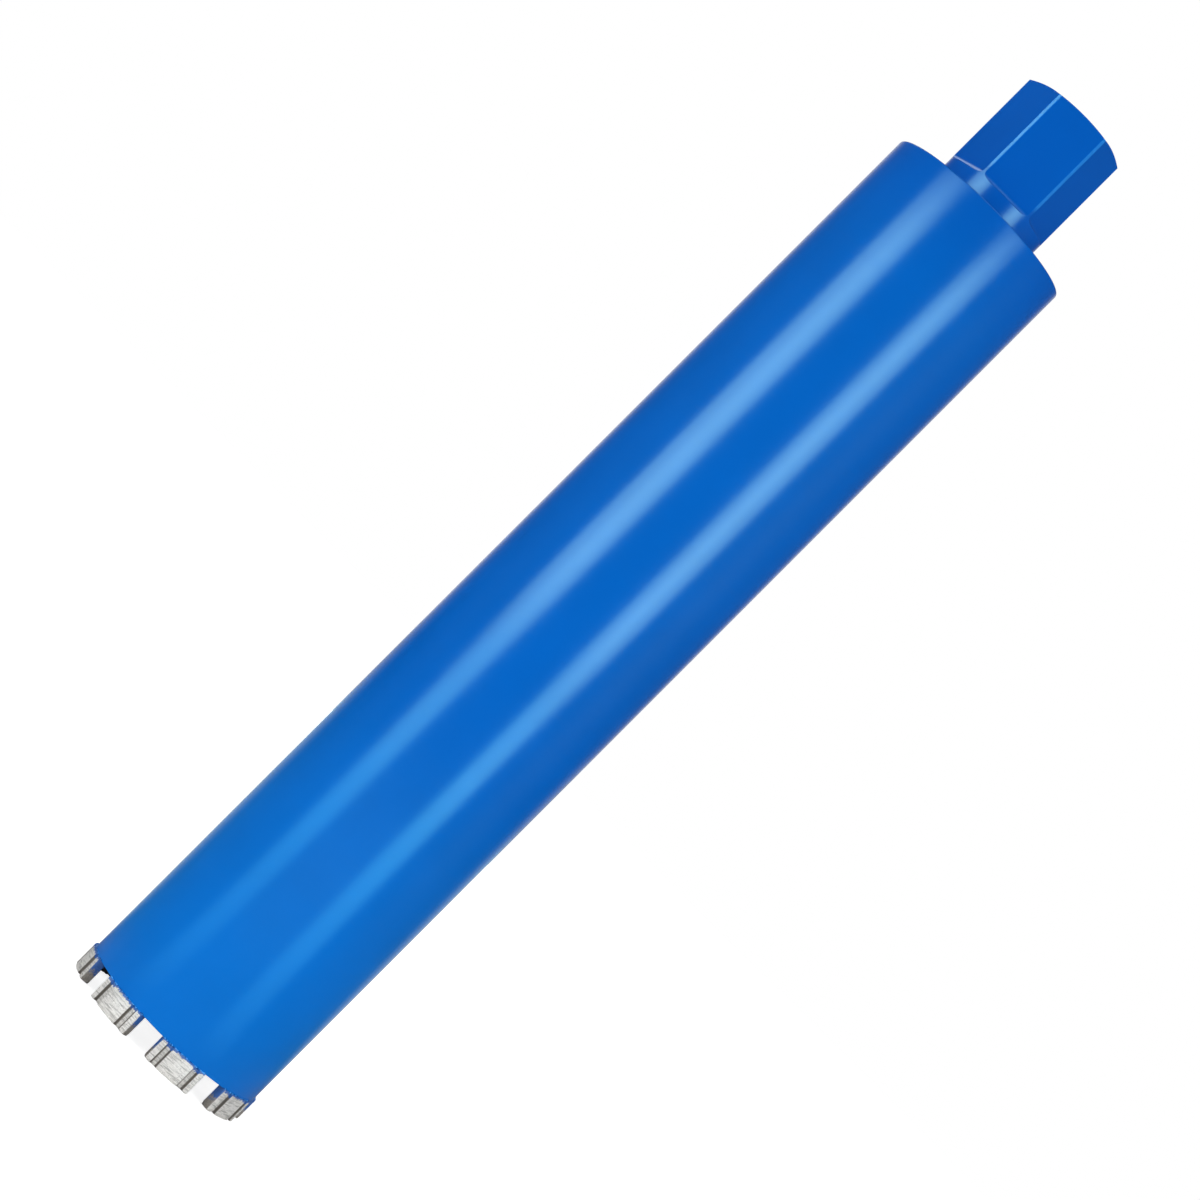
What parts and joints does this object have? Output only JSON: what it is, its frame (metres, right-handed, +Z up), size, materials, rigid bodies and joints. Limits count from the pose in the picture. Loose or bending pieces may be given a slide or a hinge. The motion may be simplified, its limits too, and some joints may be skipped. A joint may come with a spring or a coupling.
{
  "type": "diamond core drill bit",
  "caption": "Wet core bit: a thin tube with sintered cutting segments round its open mouth and a hexagon hub with a spindle thread at the other end.",
  "frame": {"origin": "on the bit's axis, in the plane of the cutting tips", "axes": "+Z up the axis from the cutting tips to the hub; -Y is the front, faced by one flat of the hexagon"},
  "size_m": [0.084, 0.084, 0.4859],
  "materials": {
    "barrel_paint": "blue enamel, semi-gloss, over a turned steel tube",
    "hub_paint": "blue enamel, semi-gloss, over machined steel bar",
    "segment_metal": "bare sintered metal, ground on the outside, rough on the cutting face"
  },
  "bodies": {
    "root": {"barrel": "barrel_paint", "hub": "hub_paint", "segment_1": "segment_metal", "segment_2": "segment_metal", "segment_3": "segment_metal", "segment_4": "segment_metal", "segment_5": "segment_metal", "segment_6": "segment_metal", "segment_7": "segment_metal", "segment_8": "segment_metal"}
  },
  "joints": []
}
